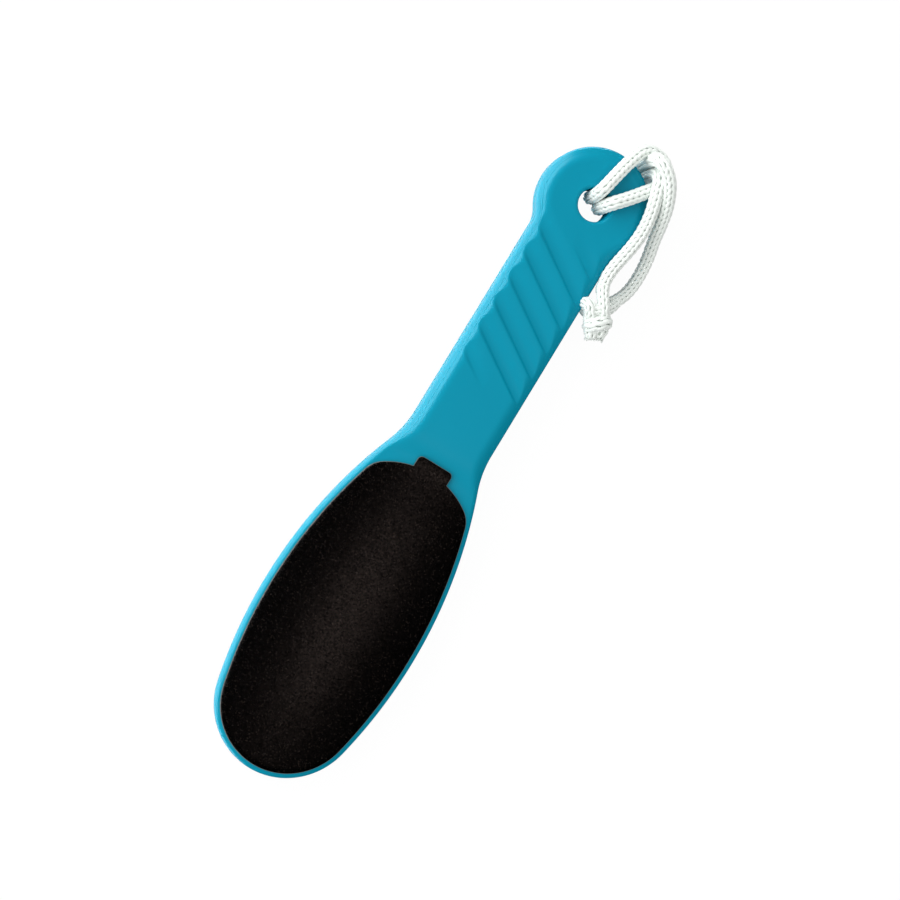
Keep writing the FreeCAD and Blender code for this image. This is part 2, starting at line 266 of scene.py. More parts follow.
def spine_points(outline):
    """For each outline point, the end of its mesh column: on the axis or the hole's edge."""
    along = run_lengths(outline)
    tip_end = np.searchsorted(outline[:, 0], TIP_FAN_END_X)
    head_start = np.searchsorted(outline[:, 0], BLEND_CENTRE[0])
    start_x = TIP_CENTRE[0]
    end_x = HEAD_CENTRE[0] - HOLE_RADIUS
    share = np.clip((along - along[tip_end]) / (along[head_start] - along[tip_end]), 0, 1)
    spine = np.stack([start_x + share * (end_x - start_x), np.zeros(len(outline))], 1)
    round_share = np.clip((along - along[head_start]) / (along[-1] - along[head_start]), 0, 1)
    angle = math.pi * (1 - round_share)
    on_hole = HEAD_CENTRE + HOLE_RADIUS * np.stack([np.cos(angle), np.sin(angle)], 1)
    spine[head_start:] = on_hole[head_start:]
    return spine


def grid_mesh(name, rings):
    """A mesh of quads between rings of equally many points, without those in the mirror plane."""
    mesh = bpy.data.meshes.new(name)
    rows, columns = rings.shape[:2]
    points = rings.reshape(-1, 3)
    index = np.arange(rows * columns).reshape(rows, columns)
    quads = np.stack([index[:-1, :-1], index[:-1, 1:], index[1:, 1:], index[1:, :-1]], -1)
    quads = quads.reshape(-1, 4)
    in_plane = np.all(np.abs(points[quads, 1]) < IN_PLANE, axis=1)
    mesh.from_pydata((points * MM).tolist(), [], quads[~in_plane].tolist())
    return mesh


def both_sides(rings):
    """The rings of the +Y half and their mirror image, as one array that goes all the way round."""
    flipped = rings[:, ::-1].copy()
    flipped[..., 1] *= -1
    return np.concatenate([rings, flipped[:, 1:]], axis=1)


def finished(name, mesh, material, smooth_angle=None):
    """An object of a welded mesh with its normals outwards and its material."""
    work = bmesh.new()
    work.from_mesh(mesh)
    bmesh.ops.remove_doubles(work, verts=work.verts, dist=WELD_DISTANCE)
    bmesh.ops.dissolve_degenerate(work, dist=THIN_EDGE, edges=work.edges)
    bmesh.ops.recalc_face_normals(work, faces=work.faces)
    work.to_mesh(mesh)
    work.free()
    mesh.polygons.foreach_set("use_smooth", [True] * len(mesh.polygons))
    if smooth_angle is not None:
        mesh.set_sharp_from_angle(angle=smooth_angle)
    piece = bpy.data.objects.new(name, mesh)
    bpy.context.scene.collection.objects.link(piece)
    mesh.materials.append(material)
    return piece


def turn_over(mesh):
    """Turns a mesh about the file's length, from its front to its rear."""
    mesh.transform(Matrix.Rotation(math.pi, 4, "X"))


def edge_insets():
    """The insets of the rings over the rounded edge, close together at the double line."""
    theta = np.linspace(0, math.pi / 2, ROUNDING_RINGS)
    insets = FACE_EDGE_RADIUS * (1 - np.cos(theta))
    start = SEAM_INSETS[0] - SEAM_REACH
    close = np.arange(start, SEAM_INSETS[1] + SEAM_REACH, SEAM_RING_STEP)
    outside = (insets < close[0] - SEAM_RING_STEP / 2) | (insets > close[-1] + SEAM_RING_STEP / 2)
    return np.sort(np.concatenate([insets[outside], close]))


def squareness(outline, inward):
    """How squarely the mesh columns leave the outline, as the cosine of their slant."""
    tangents = np.gradient(outline, axis=0)
    tangents[0] = (0.0, 1.0)
    tangents[-1] = (0.0, -1.0)
    tangents /= np.linalg.norm(tangents, axis=1)[:, None]
    cosine = inward[:, 0] * tangents[:, 1] - inward[:, 1] * tangents[:, 0]
    return np.maximum(cosine, LEAST_SQUARENESS)


def shell_mesh(name):
    """One shell: its face and rounded wall, the parting groove, the hole and the joint face."""
    outline, elements = body_outline()
    spine = spine_points(outline)
    reach = np.linalg.norm(spine - outline, axis=1)
    inward = (spine - outline) / reach[:, None]
    depth = reach * squareness(outline, inward)
    inner = np.sin(math.pi / 2 * np.arange(1, INNER_RINGS + 1) / INNER_RINGS)
    shares = [np.minimum(inset / depth, LAST_SHARE) for inset in edge_insets()]
    shares += [shares[-1] + (1 - shares[-1]) * share for share in inner]
    rings = []
    for share in shares:
        points = outline + (spine - outline) * share[:, None]
        inset = np.zeros(len(points))
        for element in range(len(OUTLINE_STEPS)):
            mine = elements == element
            inset[mine] = inset_from(element, points[mine])
        rings.append(np.column_stack([points, np.maximum(inset, 0)]))
    face = both_sides(np.array(rings))
    face[..., 2] = body_height(face[..., 0], face[..., 1], face[..., 2])
    groove = np.column_stack([outline + inward * PARTING_GROOVE, np.zeros(len(outline))])
    edge = np.column_stack([outline, np.full(len(outline), PARTING_GROOVE)])
    floor = np.column_stack([spine, np.zeros(len(spine))])
    low = both_sides(np.array([floor, groove, edge]))
    return grid_mesh(name, np.concatenate([low, face, low[:1]]))


def pad_outline(grow):
    """The +Y half of a pad's outline, from its tip to the middle of its tab."""
    margin = PAD_MARGIN - grow
    side = SIDE_RADIUS - margin
    end_radius = PAD_END_RADIUS + grow
    shoulder = PAD_SHOULDER_RADIUS + grow
    tab = TAB_HALF_WIDTH + grow
    inner_side = side - shoulder
    inner_end = end_radius - shoulder
    between = np.linalg.norm(PAD_END_CENTRE - SIDE_CENTRE)
    reach = heading(SIDE_CENTRE, PAD_END_CENTRE)
    turn = math.acos((inner_side**2 + between**2 - inner_end**2) / (2 * inner_side * between))
    direction = np.array([math.cos(reach - turn), math.sin(reach - turn)])
    shoulder_centre = SIDE_CENTRE + inner_side * direction
    tip_angle = heading(SIDE_CENTRE, TIP_CENTRE)
    side_angle = heading(SIDE_CENTRE, shoulder_centre)
    end_angle = heading(PAD_END_CENTRE, shoulder_centre)
    tab_angle = math.asin(tab / end_radius)
    corner = TAB_CORNER_RADIUS + grow
    corner_centre = (TAB_END_X + grow - corner, tab - corner)
    tab_root = PAD_END_CENTRE + end_radius * np.array([math.cos(tab_angle), math.sin(tab_angle)])
    return np.concatenate([
        arc_points(TIP_CENTRE, TIP_RADIUS - margin, math.pi, tip_angle),
        arc_points(SIDE_CENTRE, side, tip_angle, side_angle),
        arc_points(shoulder_centre, shoulder, side_angle, end_angle),
        arc_points(PAD_END_CENTRE, end_radius, end_angle, tab_angle),
        line_points(tab_root, (corner_centre[0], tab)),
        arc_points(corner_centre, corner, math.pi / 2, 0.0, PAD_CORNER_STEP),
        line_points((TAB_END_X + grow, corner_centre[1]), (TAB_END_X + grow, 0.0)),
        np.array([[TAB_END_X + grow, 0.0]]),
    ])


def sheet_mesh(name, grow, low, high, edge):
    """A thin sheet that follows the paddle's face between two distances from it."""
    outline = pad_outline(grow)
    along = run_lengths(outline)
    start_x = TIP_CENTRE[0]
    end_x = TAB_END_X - TAB_CORNER_RADIUS
    lead = TIP_RADIUS
    share = np.clip((along - lead) / (along[-1] - lead), 0, 1)
    spine = np.stack([start_x + share * (end_x - start_x), np.zeros(len(outline))], 1)

    def ring(share, level):
        points = outline + (spine - outline) * share
        paddle = crown(points[:, 0], points[:, 1])
        height = higher(paddle, ramp(points[:, 0]), SLOPE_SOFTNESS) + level
        return np.column_stack([points, height])

    shares = np.sin(math.pi / 2 * np.arange(1, PAD_RINGS + 1) / PAD_RINGS)
    edge_share = edge / PADDLE_HALF_WIDTH
    rings = [ring(share, low) for share in shares[::-1]]
    rings += [ring(0.0, low), ring(0.0, high - edge), ring(edge_share / 3, high - edge / 3)]
    rings += [ring(edge_share, high)]
    rings += [ring(edge_share + (1 - edge_share) * share, high) for share in shares]
    return grid_mesh(name, both_sides(np.array(rings)))


# Materials, each with its own nodes

def srgb(red, green, blue):
    """A colour written as a screen shows it, as Blender's linear one."""
    def linear(value):
        share = value / 255
        return share / 12.92 if share <= 0.04045 else ((share + 0.055) / 1.055) ** 2.4
    return (linear(red), linear(green), linear(blue), 1.0)


TEAL = srgb(1, 142, 169)
TEAL_DEEP = srgb(0, 138, 165)
GRIT_DARK = srgb(1, 1, 1)
GRIT_LIGHT = srgb(6, 5, 5)
# Painted glint: a few grains far lighter in colour than the rest
GRIT_PAINTED_GLINT = srgb(30, 25, 22)
BACKING_GREY = srgb(112, 120, 116)
BACKING_DEEP = srgb(92, 100, 96)
CORD_WHITE = srgb(245, 249, 246)
# The yarn's darker filament tone, and the lighter tone of the core's painted shade
FILAMENT_TONE_AND_CORE_SHADE = srgb(233, 241, 235)
FRAY_TINT = srgb(234, 242, 235)
# The core's painted shade, which shows between the yarns of the knit
CORE_PAINTED_SHADE = srgb(206, 220, 212)

# Gloss: the roughness of each surface, and the strength of its coat
SHELL_ROUGHNESS, SHELL_COAT = 0.30, 0.029
GRIT_ROUGHNESS, GRIT_COATS = 0.21, (0.008, 0.075)
BACKING_ROUGHNESS = 0.6
YARN_ROUGHNESS, YARN_COAT = 0.62, 0.01
YARN_SHEEN, YARN_SHEEN_ROUGHNESS = 0.5, 0.4
COAT_IOR = 4.0

# Texture scales per metre, and each bump's strength and height in metres
MOTTLE_SCALE = 60.0
GRAIN_SCALE, GRAIN_BUMP = 5000.0, (0.05, 0.00005)
GRIT_SCALE, GRIT_BUMP = 2900.0, (0.12, 0.00004)
GRIT_STOPS = (0.35, 0.93, 0.97)
GRIT_DULL_SHARE = 0.2
CLUMP_SCALE, CLUMP_BUMP = 1200.0, (0.05, 0.00005)
FIBRE_SCALE, FIBRE_BUMP = 1800.0, (0.3, 0.00005)
FILAMENT_STRETCH = (12.0, 1.5, 1.0)
FILAMENT_BUMP = (0.25, 0.0001)


def new_material(name):
    """A material with a shader to be linked to, and its node tree."""
    material = bpy.data.materials.new(name)
    material.use_nodes = True
    return material, material.node_tree, material.node_tree.nodes["Principled BSDF"]


def node(tree, kind, inputs=None, **settings):
    """A node with its settings and the values of its inputs."""
    made = tree.nodes.new(kind)
    for key, value in settings.items():
        setattr(made, key, value)
    for key, value in (inputs or {}).items():
        made.inputs[key].default_value = value
    return made


def noise(tree, scale, detail=3.0):
    """A noise texture in the object's own metres."""
    place = node(tree, "ShaderNodeTexCoord")
    made = node(tree, "ShaderNodeTexNoise", {"Scale": scale, "Detail": detail, "Roughness": 0.5})
    tree.links.new(place.outputs["Object"], made.inputs["Vector"])
    return made


def bump(tree, height, shader, size, before=None):
    """A bump from a height socket, linked to the shader."""
    made = node(tree, "ShaderNodeBump", {"Strength": size[0], "Distance": size[1]})
    tree.links.new(height, made.inputs["Height"])
    if before is not None:
        tree.links.new(before.outputs["Normal"], made.inputs["Normal"])
    tree.links.new(made.outputs["Normal"], shader.inputs["Normal"])
    return made


def mixed_colour(tree, factor, first, second):
    """A colour between two, by a factor socket."""
    made = node(tree, "ShaderNodeMix", data_type="RGBA")
    made.inputs["A"].default_value = first
    made.inputs["B"].default_value = second
    tree.links.new(factor, made.inputs["Factor"])
    return made.outputs["Result"]


def satin(shader, weight, roughness):
    """A thin gloss of nearly the same strength from every side, in place of the base's own."""
    shader.inputs["Roughness"].default_value = roughness
    shader.inputs["Specular IOR Level"].default_value = 0.0
    shader.inputs["Coat Weight"].default_value = weight
    shader.inputs["Coat Roughness"].default_value = roughness
    shader.inputs["Coat IOR"].default_value = COAT_IOR


def shell_material():
    """Satin moulded plastic, with a faint mottle and a fine grain."""
    material, tree, shader = new_material("teal_plastic")
    mottle = noise(tree, MOTTLE_SCALE)
    colour = mixed_colour(tree, mottle.outputs["Fac"], TEAL, TEAL_DEEP)
    tree.links.new(colour, shader.inputs["Base Color"])
    satin(shader, SHELL_COAT, SHELL_ROUGHNESS)
    grain = noise(tree, GRAIN_SCALE, detail=2.0)
    bump(tree, grain.outputs["Fac"], shader, GRAIN_BUMP)
    return material


def abrasive_material():
    """Fine mineral grit in dark resin: grains of a few tones and a painted glint, of uneven gloss.
    """
    material, tree, shader = new_material("black_grit")
    place = node(tree, "ShaderNodeTexCoord")
    grains = node(tree, "ShaderNodeTexVoronoi", {"Scale": GRIT_SCALE, "Randomness": 1.0})
    tree.links.new(place.outputs["Object"], grains.inputs["Vector"])
    tone = node(tree, "ShaderNodeSeparateColor")
    tree.links.new(grains.outputs["Color"], tone.inputs["Color"])
    tones = node(tree, "ShaderNodeValToRGB")
    stops = tones.color_ramp.elements
    # The last stop is the painted glint
    stops.new(GRIT_STOPS[2])
    for stop, position, colour in zip(stops, GRIT_STOPS, (GRIT_DARK, GRIT_LIGHT, GRIT_PAINTED_GLINT)):
        stop.position = position
        stop.color = colour
    tree.links.new(tone.outputs["Red"], tones.inputs["Fac"])
    tree.links.new(tones.outputs["Color"], shader.inputs["Base Color"])
    satin(shader, sum(GRIT_COATS) / 2, GRIT_ROUGHNESS)
    coats = {"From Min": GRIT_DULL_SHARE, "To Min": GRIT_COATS[0], "To Max": GRIT_COATS[1]}
    gloss = node(tree, "ShaderNodeMapRange", coats)
    tree.links.new(tone.outputs["Green"], gloss.inputs["Value"])
    tree.links.new(gloss.outputs["Result"], shader.inputs["Coat Weight"])
    clumps = noise(tree, CLUMP_SCALE, detail=2.0)
    soft = bump(tree, clumps.outputs["Fac"], shader, CLUMP_BUMP)
    rise = bump(tree, tone.outputs["Blue"], shader, GRIT_BUMP, soft)
    tree.links.new(rise.outputs["Normal"], shader.inputs["Coat Normal"])
    return material


def backing_material():
    """Grey backing sheet with a faint fibre."""
    material, tree, shader = new_material("grey_backing")
    fibre = noise(tree, FIBRE_SCALE, detail=4.0)
    colour = mixed_colour(tree, fibre.outputs["Fac"], BACKING_GREY, BACKING_DEEP)
    tree.links.new(colour, shader.inputs["Base Color"])
    satin(shader, 0.0, BACKING_ROUGHNESS)
    bump(tree, fibre.outputs["Fac"], shader, FIBRE_BUMP)
    return material


def cord_material(name, darker, bright=CORD_WHITE):
    """White polyester yarn with filaments along it; the core's darker copy is painted shade."""
    material, tree, shader = new_material(name)
    place = node(tree, "ShaderNodeUVMap")
    stretch = node(tree, "ShaderNodeMapping", {"Scale": FILAMENT_STRETCH})
    tree.links.new(place.outputs["UV"], stretch.inputs["Vector"])
    texture = {"Scale": 1.0, "Detail": 4.0, "Roughness": 0.6}
    filaments = node(tree, "ShaderNodeTexNoise", texture)
    tree.links.new(stretch.outputs["Vector"], filaments.inputs["Vector"])
    colour = mixed_colour(tree, filaments.outputs["Fac"], darker, bright)
    tree.links.new(colour, shader.inputs["Base Color"])
    satin(shader, YARN_COAT, YARN_ROUGHNESS)
    shader.inputs["Sheen Weight"].default_value = YARN_SHEEN
    shader.inputs["Sheen Roughness"].default_value = YARN_SHEEN_ROUGHNESS
    bump(tree, filaments.outputs["Fac"], shader, FILAMENT_BUMP)
    return material


# The cord's route, close to the one that its solid has, in millimetres
CORD_ROUTE = (
    (78.7, -18.7, 3.6),
    (83.5, -17.2, 4.2),
    (89.2, -17.2, 5.2),
    (95.1, -18.2, 6.7),
    (101.8, -19.1, 8.0),
    (108.5, -18.8, 9.0),
    (115.3, -16.9, 11.1),
    (125.8, -13.0, 12.2),
    (126.0, -12.7, -9.0),
    (115.0, -7.4, -9.4),
    (105.8, -3.1, -9.4),
    (105.8, -3.1, 9.6),
    (112.6, -9.1, 9.0),
    (118.5, -13.5, 7.7),
    (123.2, -17.2, 5.2),
    (128.2, -16.8, 4.2),
    (131.8, -12.0, 4.4),
    (131.0, -5.1, 5.6),
    (124.4, -2.5, 7.8),
    (116.6, -0.5, 9.0),
    (107.5, 1.4, 9.6),
    (107.5, 1.4, -9.4),
    (117.0, -3.1, -9.4),
    (128.8, -9.1, -9.0),
    (128.7, -8.9, 15.4),
    (124.6, -16.3, 15.0),
    (118.2, -20.8, 11.4),
    (112.5, -23.4, 7.0),
    (106.0, -25.0, 3.2),
    (100.1, -27.1, 0.2),
    (93.8, -28.2, -1.8),
    (87.4, -28.0, -2.2),
    (82.0, -26.2, -1.2),
    (78.5, -23.5, 0.8),
)

# The knitted tube: stitches in one round, the rise of a round, the loop's shape, the yarn, the
# core inside and the steps along it
STITCHES_ROUND = 4
ROUND_RISE = 2.25
LOOP_HALF_HEIGHT = 1.75
LOOP_NECK = 0.50
LOOP_DEPTH = 0.20
TUBE_RADIUS = 1.80
YARN_HALF_WIDTH = 0.63
YARN_HALF_HEIGHT = 0.46
YARN_SIDES = 8
STITCH_STEPS = 18
CORE_RADIUS = 1.45
LINE_STEP = 0.3
SPLINE_STEPS = 24
SAME_POINT = 1e-9


def spline_line(name, route):
    """Points in millimetres along a smooth curve with these control points."""
    curve = bpy.data.curves.new(name, "CURVE")
    curve.dimensions = "3D"
    spline = curve.splines.new("NURBS")
    spline.points.add(len(route) - 1)
    for point, place in zip(spline.points, route):
        point.co = (*[value * MM for value in place], 1.0)
    spline.order_u = 3
    spline.use_endpoint_u = True
    spline.resolution_u = SPLINE_STEPS
    holder = bpy.data.objects.new(name, curve)
    bpy.context.scene.collection.objects.link(holder)
    line = bpy.data.meshes.new_from_object(holder)
    points = np.array([vertex.co[:] for vertex in line.vertices]) / MM
    bpy.data.objects.remove(holder)
    bpy.data.curves.remove(curve)
    bpy.data.meshes.remove(line)
    return points


def even_line(points, step):
    """The same line with points at an even spacing."""
    gaps = np.linalg.norm(np.diff(points, axis=0), axis=1)
    points = points[np.concatenate([[True], gaps > SAME_POINT])]
    along = run_lengths(points)
    places = np.linspace(0, along[-1], max(2, round(along[-1] / step) + 1))
    return np.stack([np.interp(places, along, points[:, axis]) for axis in range(3)], 1), places


def carried_frame(points):
    """Two directions square to a line at each point, carried along it without a twist."""
    tangents = np.gradient(points, axis=0)
    tangents /= np.linalg.norm(tangents, axis=1)[:, None]
    side = np.cross(tangents[0], [0.0, 0.0, 1.0])
    side /= np.linalg.norm(side)
    sides = [side]
    for tangent in tangents[1:]:
        side = sides[-1] - tangent * np.dot(sides[-1], tangent)
        sides.append(side / np.linalg.norm(side))
    sides = np.array(sides)
    return tangents, sides, np.cross(tangents, sides)


class Soup:
    """Vertices, faces and UVs gathered for one mesh."""

    def __init__(self):
        self.vertices = []
        self.faces = []
        self.uvs = []
        self.count = 0

    def tube(self, centre, side, up, half_width, half_height, sides, along):
        """A closed tube round a line, with its own section directions and half sizes."""
        angles = 2 * np.pi * np.arange(sides) / sides
        wide = np.broadcast_to(np.asarray(half_width, float), (len(centre),))[:, None, None]
        high = np.broadcast_to(np.asarray(half_height, float), (len(centre),))[:, None, None]
        ring = side[:, None] * np.cos(angles)[None, :, None] * wide
        ring = ring + up[:, None] * np.sin(angles)[None, :, None] * high
        points = (centre[:, None] + ring).reshape(-1, 3)
        rows = len(centre)
        index = self.count + np.arange(rows * sides).reshape(rows, sides)
        turned = np.roll(index, -1, axis=1)
        quads = np.stack([index[:-1], turned[:-1], turned[1:], index[1:]], -1).reshape(-1, 4)
        for row in range(rows - 1):
            start, end = along[row], along[row + 1]
            for column in range(sides):
                a, b = column / sides, (column + 1) / sides
                self.uvs.append([(a, start), (b, start), (b, end), (a, end)])
        self.vertices.append(points)
        self.faces += quads.tolist()
        self.faces.append(index[0][::-1].tolist())
        self.faces.append(index[-1].tolist())
        self.uvs.append([(0.5, along[0])] * sides)
        self.uvs.append([(0.5, along[-1])] * sides)
        self.count += rows * sides

    def mesh(self, name):
        """The gathered mesh."""
        made = bpy.data.meshes.new(name)
        made.from_pydata((np.concatenate(self.vertices) * MM).tolist(), [], self.faces)
        layer = made.uv_layers.new(name="UVMap")
        flat = [value for face in self.uvs for corner in face for value in corner]
        layer.data.foreach_set("uv", flat)
        return made


def knit(soup, core, line, spread, roll=0.0):
    """A knitted tube along a line, widened by place: one yarn in a rising round of loops."""
    points, along = even_line(line, LINE_STEP)
    tangents, sides, ups = carried_frame(points)
    rounds = (along[-1] - LOOP_HALF_HEIGHT) / ROUND_RISE
    stitches = rounds * STITCHES_ROUND
    turn = np.linspace(0, 2 * np.pi * stitches, round(stitches * STITCH_STEPS))
    stitch = turn / (2 * np.pi)
    width = 2 * np.pi * TUBE_RADIUS / STITCHES_ROUND
    angle = roll + 2 * np.pi * (stitch + LOOP_NECK / width * np.sin(2 * turn)) / STITCHES_ROUND
    place = LOOP_HALF_HEIGHT * (1 - np.cos(turn)) + stitch / STITCHES_ROUND * ROUND_RISE
    place = np.clip(place, 0, along[-1])
    radius = TUBE_RADIUS - LOOP_DEPTH * np.cos(2 * turn)
    swell = np.interp(place / along[-1], *spread)
    radius = radius * swell

    def at(values):
        return np.stack([np.interp(place, along, values[:, axis]) for axis in range(3)], 1)

    outward = at(sides) * np.cos(angle)[:, None] + at(ups) * np.sin(angle)[:, None]
    outward /= np.linalg.norm(outward, axis=1)[:, None]
    centre = at(points) + outward * radius[:, None]
    forward = np.gradient(centre, axis=0)
    forward /= np.linalg.norm(forward, axis=1)[:, None]
    across = np.cross(outward, forward)
    across /= np.linalg.norm(across, axis=1)[:, None]
    out = np.cross(forward, across)
    length = run_lengths(centre)
    soup.tube(centre, across, out, YARN_HALF_WIDTH * swell, YARN_HALF_HEIGHT, YARN_SIDES, length)
    inner = CORE_RADIUS * np.interp(along / along[-1], *spread)
    core.tube(points, sides, ups, inner, inner, YARN_SIDES, along)
    return points


# The loose filaments at a cut end: their number, sizes and how far they stray
FILAMENT_COUNT = 260
FILAMENT_RADIUS = 0.07
FILAMENT_LENGTH = 0.8
FILAMENT_LENGTHS = (0.55, 1.1)
FILAMENT_ROOT = 1.2
FILAMENT_POINTS = 7
FILAMENT_SIDES = 4
FRAY_RADIUS = 1.9
FRAY_LEAN = (0.1, 0.9)
FRAY_STRAY = 0.15
FRAY_CURL = 0.3


def brush(soup, centre, aim, seed):
    """Loose filaments that stand out of a cut end."""
    dice = np.random.default_rng(seed)
    aim = np.array(aim) / np.linalg.norm(aim)
    side = np.cross(aim, [0.0, 0.0, 1.0])
    side /= np.linalg.norm(side)
    up = np.cross(aim, side)
    run = np.linspace(0, 1, FILAMENT_POINTS)[:, None]
    for _ in range(FILAMENT_COUNT):
        turn = dice.uniform(0, 2 * np.pi)
        off = FRAY_RADIUS * np.sqrt(dice.uniform(0, 1))
        away = side * np.cos(turn) + up * np.sin(turn)
        lean = away * off / FRAY_RADIUS * dice.uniform(*FRAY_LEAN) + dice.normal(0, FRAY_STRAY, 3)
        reach = FILAMENT_LENGTH * dice.uniform(*FILAMENT_LENGTHS)
        curl = dice.normal(0, FRAY_CURL, 3)
        root = np.array(centre) + away * off - aim * FILAMENT_ROOT
        strand = root + aim * run * (reach + FILAMENT_ROOT) + lean * run**2 * reach + curl * run**3
        _, sides, ups = carried_frame(strand)
        along = run[:, 0] * reach
        soup.tube(strand, sides, ups, FILAMENT_RADIUS, FILAMENT_RADIUS, FILAMENT_SIDES, along)


# The knot's two strands and the wrap round them, and the two ends below, in millimetres
KNOT_ROUTES = (
    (
        (84.0, -17.2, 4.3),
        (80.2, -18.4, 5.0),
        (76.6, -20.8, 6.2),
        (73.4, -23.0, 5.6),
        (71.8, -23.2, 2.4),
        (71.8, -19.6, -0.6),
        (72.6, -15.8, 0.6),
        (73.8, -14.8, 3.6),
        (73.8, -16.8, 6.2),
        (71.6, -18.6, 5.4),
        (69.8, -20.2, 4.0),
    ),
    (
        (82.4, -26.0, -1.2),
        (79.2, -25.2, 0.8),
        (76.4, -23.8, 3.2),
        (74.6, -21.4, 5.6),
        (73.0, -18.8, 5.6),
        (72.4, -17.2, 3.0),
        (71.8, -19.6, 0.6),
        (71.6, -22.4, 1.2),
        (71.0, -24.0, 2.6),
    ),
    (
        (69.6, -22.8, 0.8),
        (71.3, -24.7, 1.5),
        (71.8, -25.3, 3.2),
        (71.3, -24.7, 4.9),
        (69.9, -23.2, 5.7),
        (68.5, -21.7, 4.9),
        (68.0, -21.1, 3.2),
        (68.5, -21.7, 1.5),
        (69.6, -22.8, 0.8),
    ),
)
TAIL_ROUTES = (
    (
        (73.6, -17.8, 4.2),
        (71.2, -19.2, 4.0),
        (69.0, -21.0, 3.6),
        (66.8, -22.6, 3.0),
        (64.9, -23.7, 2.6),
    ),
    (
        (75.0, -22.4, 3.6),
        (73.0, -24.0, 3.4),
        (70.8, -25.0, 3.0),
        (68.4, -25.5, 2.8),
        (66.2, -25.7, 2.4),
    ),
)

# How much the tube widens, as places along it and the factors there
STRAND_SPREAD = ((0, 0.5, 1), (0.9, 0.9, 0.95))
WRAP_SPREAD = ((0, 1), (1.3, 1.3))
KNOT_SPREADS = (STRAND_SPREAD, STRAND_SPREAD, WRAP_SPREAD)
TAIL_SPREAD = ((0, 0.4, 0.75, 1), (0.9, 1.22, 1.22, 1.0))
CORD_SPREAD = ((0, 0.05, 0.30, 0.42, 0.60, 0.75, 1), (0.95, 1, 1.06, 1.06, 1.06, 1.06, 0.95))


def make_cord(yarn, core_yarn_painted_shade, tail_yarn):
    """The knitted cord, its knot and its frayed ends."""
    groups = {name: (Soup(), Soup()) for name in ("cord", "knot", "tails")}
    path = knit(*groups["cord"], spline_line("cord_route", CORD_ROUTE), CORD_SPREAD)
    for index, (route, spread) in enumerate(zip(KNOT_ROUTES, KNOT_SPREADS)):
        knit(*groups["knot"], spline_line("knot_route", route), spread, index)
    for index, route in enumerate(TAIL_ROUTES):
        line = spline_line("tail_route", route)
        knit(*groups["tails"], line, TAIL_SPREAD, index)
        brush(groups["tails"][0], line[-1], line[-1] - line[-4], index)
    pieces = {}
    for name, (outer, inner) in groups.items():
        own = tail_yarn if name == "tails" else yarn
        pieces[name] = [
            finished(name + "_yarn", outer.mesh(name + "_yarn"), own),
            finished(name + "_core", inner.mesh(name + "_core"), core_yarn_painted_shade),
        ]
    return pieces, path


# The camera, fitted to the photograph: its place and lens are in millimetres
CAMERA_PLACE = (-27.13, 92.16, 591.68)
CAMERA_BACK = (-0.05341, 0.15712, 0.98613)
CAMERA_UP = (0.85331, 0.52012, -0.03666)
CAMERA_LENS = 68.54
CAMERA_SENSOR = 36.0
CAMERA_CLIP = (0.01, 20.0)


def make_camera():
    """The camera at the photograph's place."""
    data = bpy.data.cameras.new("camera")
    data.lens = CAMERA_LENS
    data.sensor_width = CAMERA_SENSOR
    data.sensor_fit = "HORIZONTAL"
    data.clip_start, data.clip_end = CAMERA_CLIP
    camera = bpy.data.objects.new("camera", data)
    bpy.context.scene.collection.objects.link(camera)
    back = Vector(CAMERA_BACK).normalized()
    right = Vector(CAMERA_UP).cross(back).normalized()
    up = back.cross(right)
    turn = Matrix((right, up, back)).transposed().to_4x4()
    camera.matrix_world = Matrix.Translation(Vector(CAMERA_PLACE) * MM) @ turn
    bpy.context.scene.camera = camera


# The lamps: place, target and size in metres, power in watts, and colour
LEFT_LAMP = ((0.02, 0.50, 0.27), (0.02, 0.0, 0.06), (1.5, 0.56), 4.5, (1.0, 1.0, 1.0))
OVERHEAD_TINT = (1.0, 0.76, 0.67)
OVERHEAD_LAMP = ((-0.14, -0.19, 1.2), (-0.06, 0.0, 0.0), (0.20, 0.22), 0.27, OVERHEAD_TINT)

# The world's light: the direction it grows in, where along it that starts and ends, its strength
# at both places, and the share of it that reflections see
WORLD_SIDE = (0.0, 0.78, 0.62)
WORLD_RANGE = (-0.5, 0.3)
WORLD_FILLS = (0.5, 0.85)
WORLD_GLOSS = 0.0


def area_light(name, place, target, size, power, colour):
    """A soft rectangular lamp."""
    data = bpy.data.lights.new(name, "AREA")
    data.shape = "RECTANGLE"
    data.size, data.size_y = size
    data.energy = power
    data.color = colour
    lamp = bpy.data.objects.new(name, data)
    bpy.context.scene.collection.objects.link(lamp)
    lamp.location = place
    lamp.rotation_euler = (Vector(target) - Vector(place)).to_track_quat("-Z", "Y").to_euler()


def make_lights():
    """A large soft lamp on the photograph's left and a small one overhead."""
    area_light("left", *LEFT_LAMP)
    area_light("overhead", *OVERHEAD_LAMP)


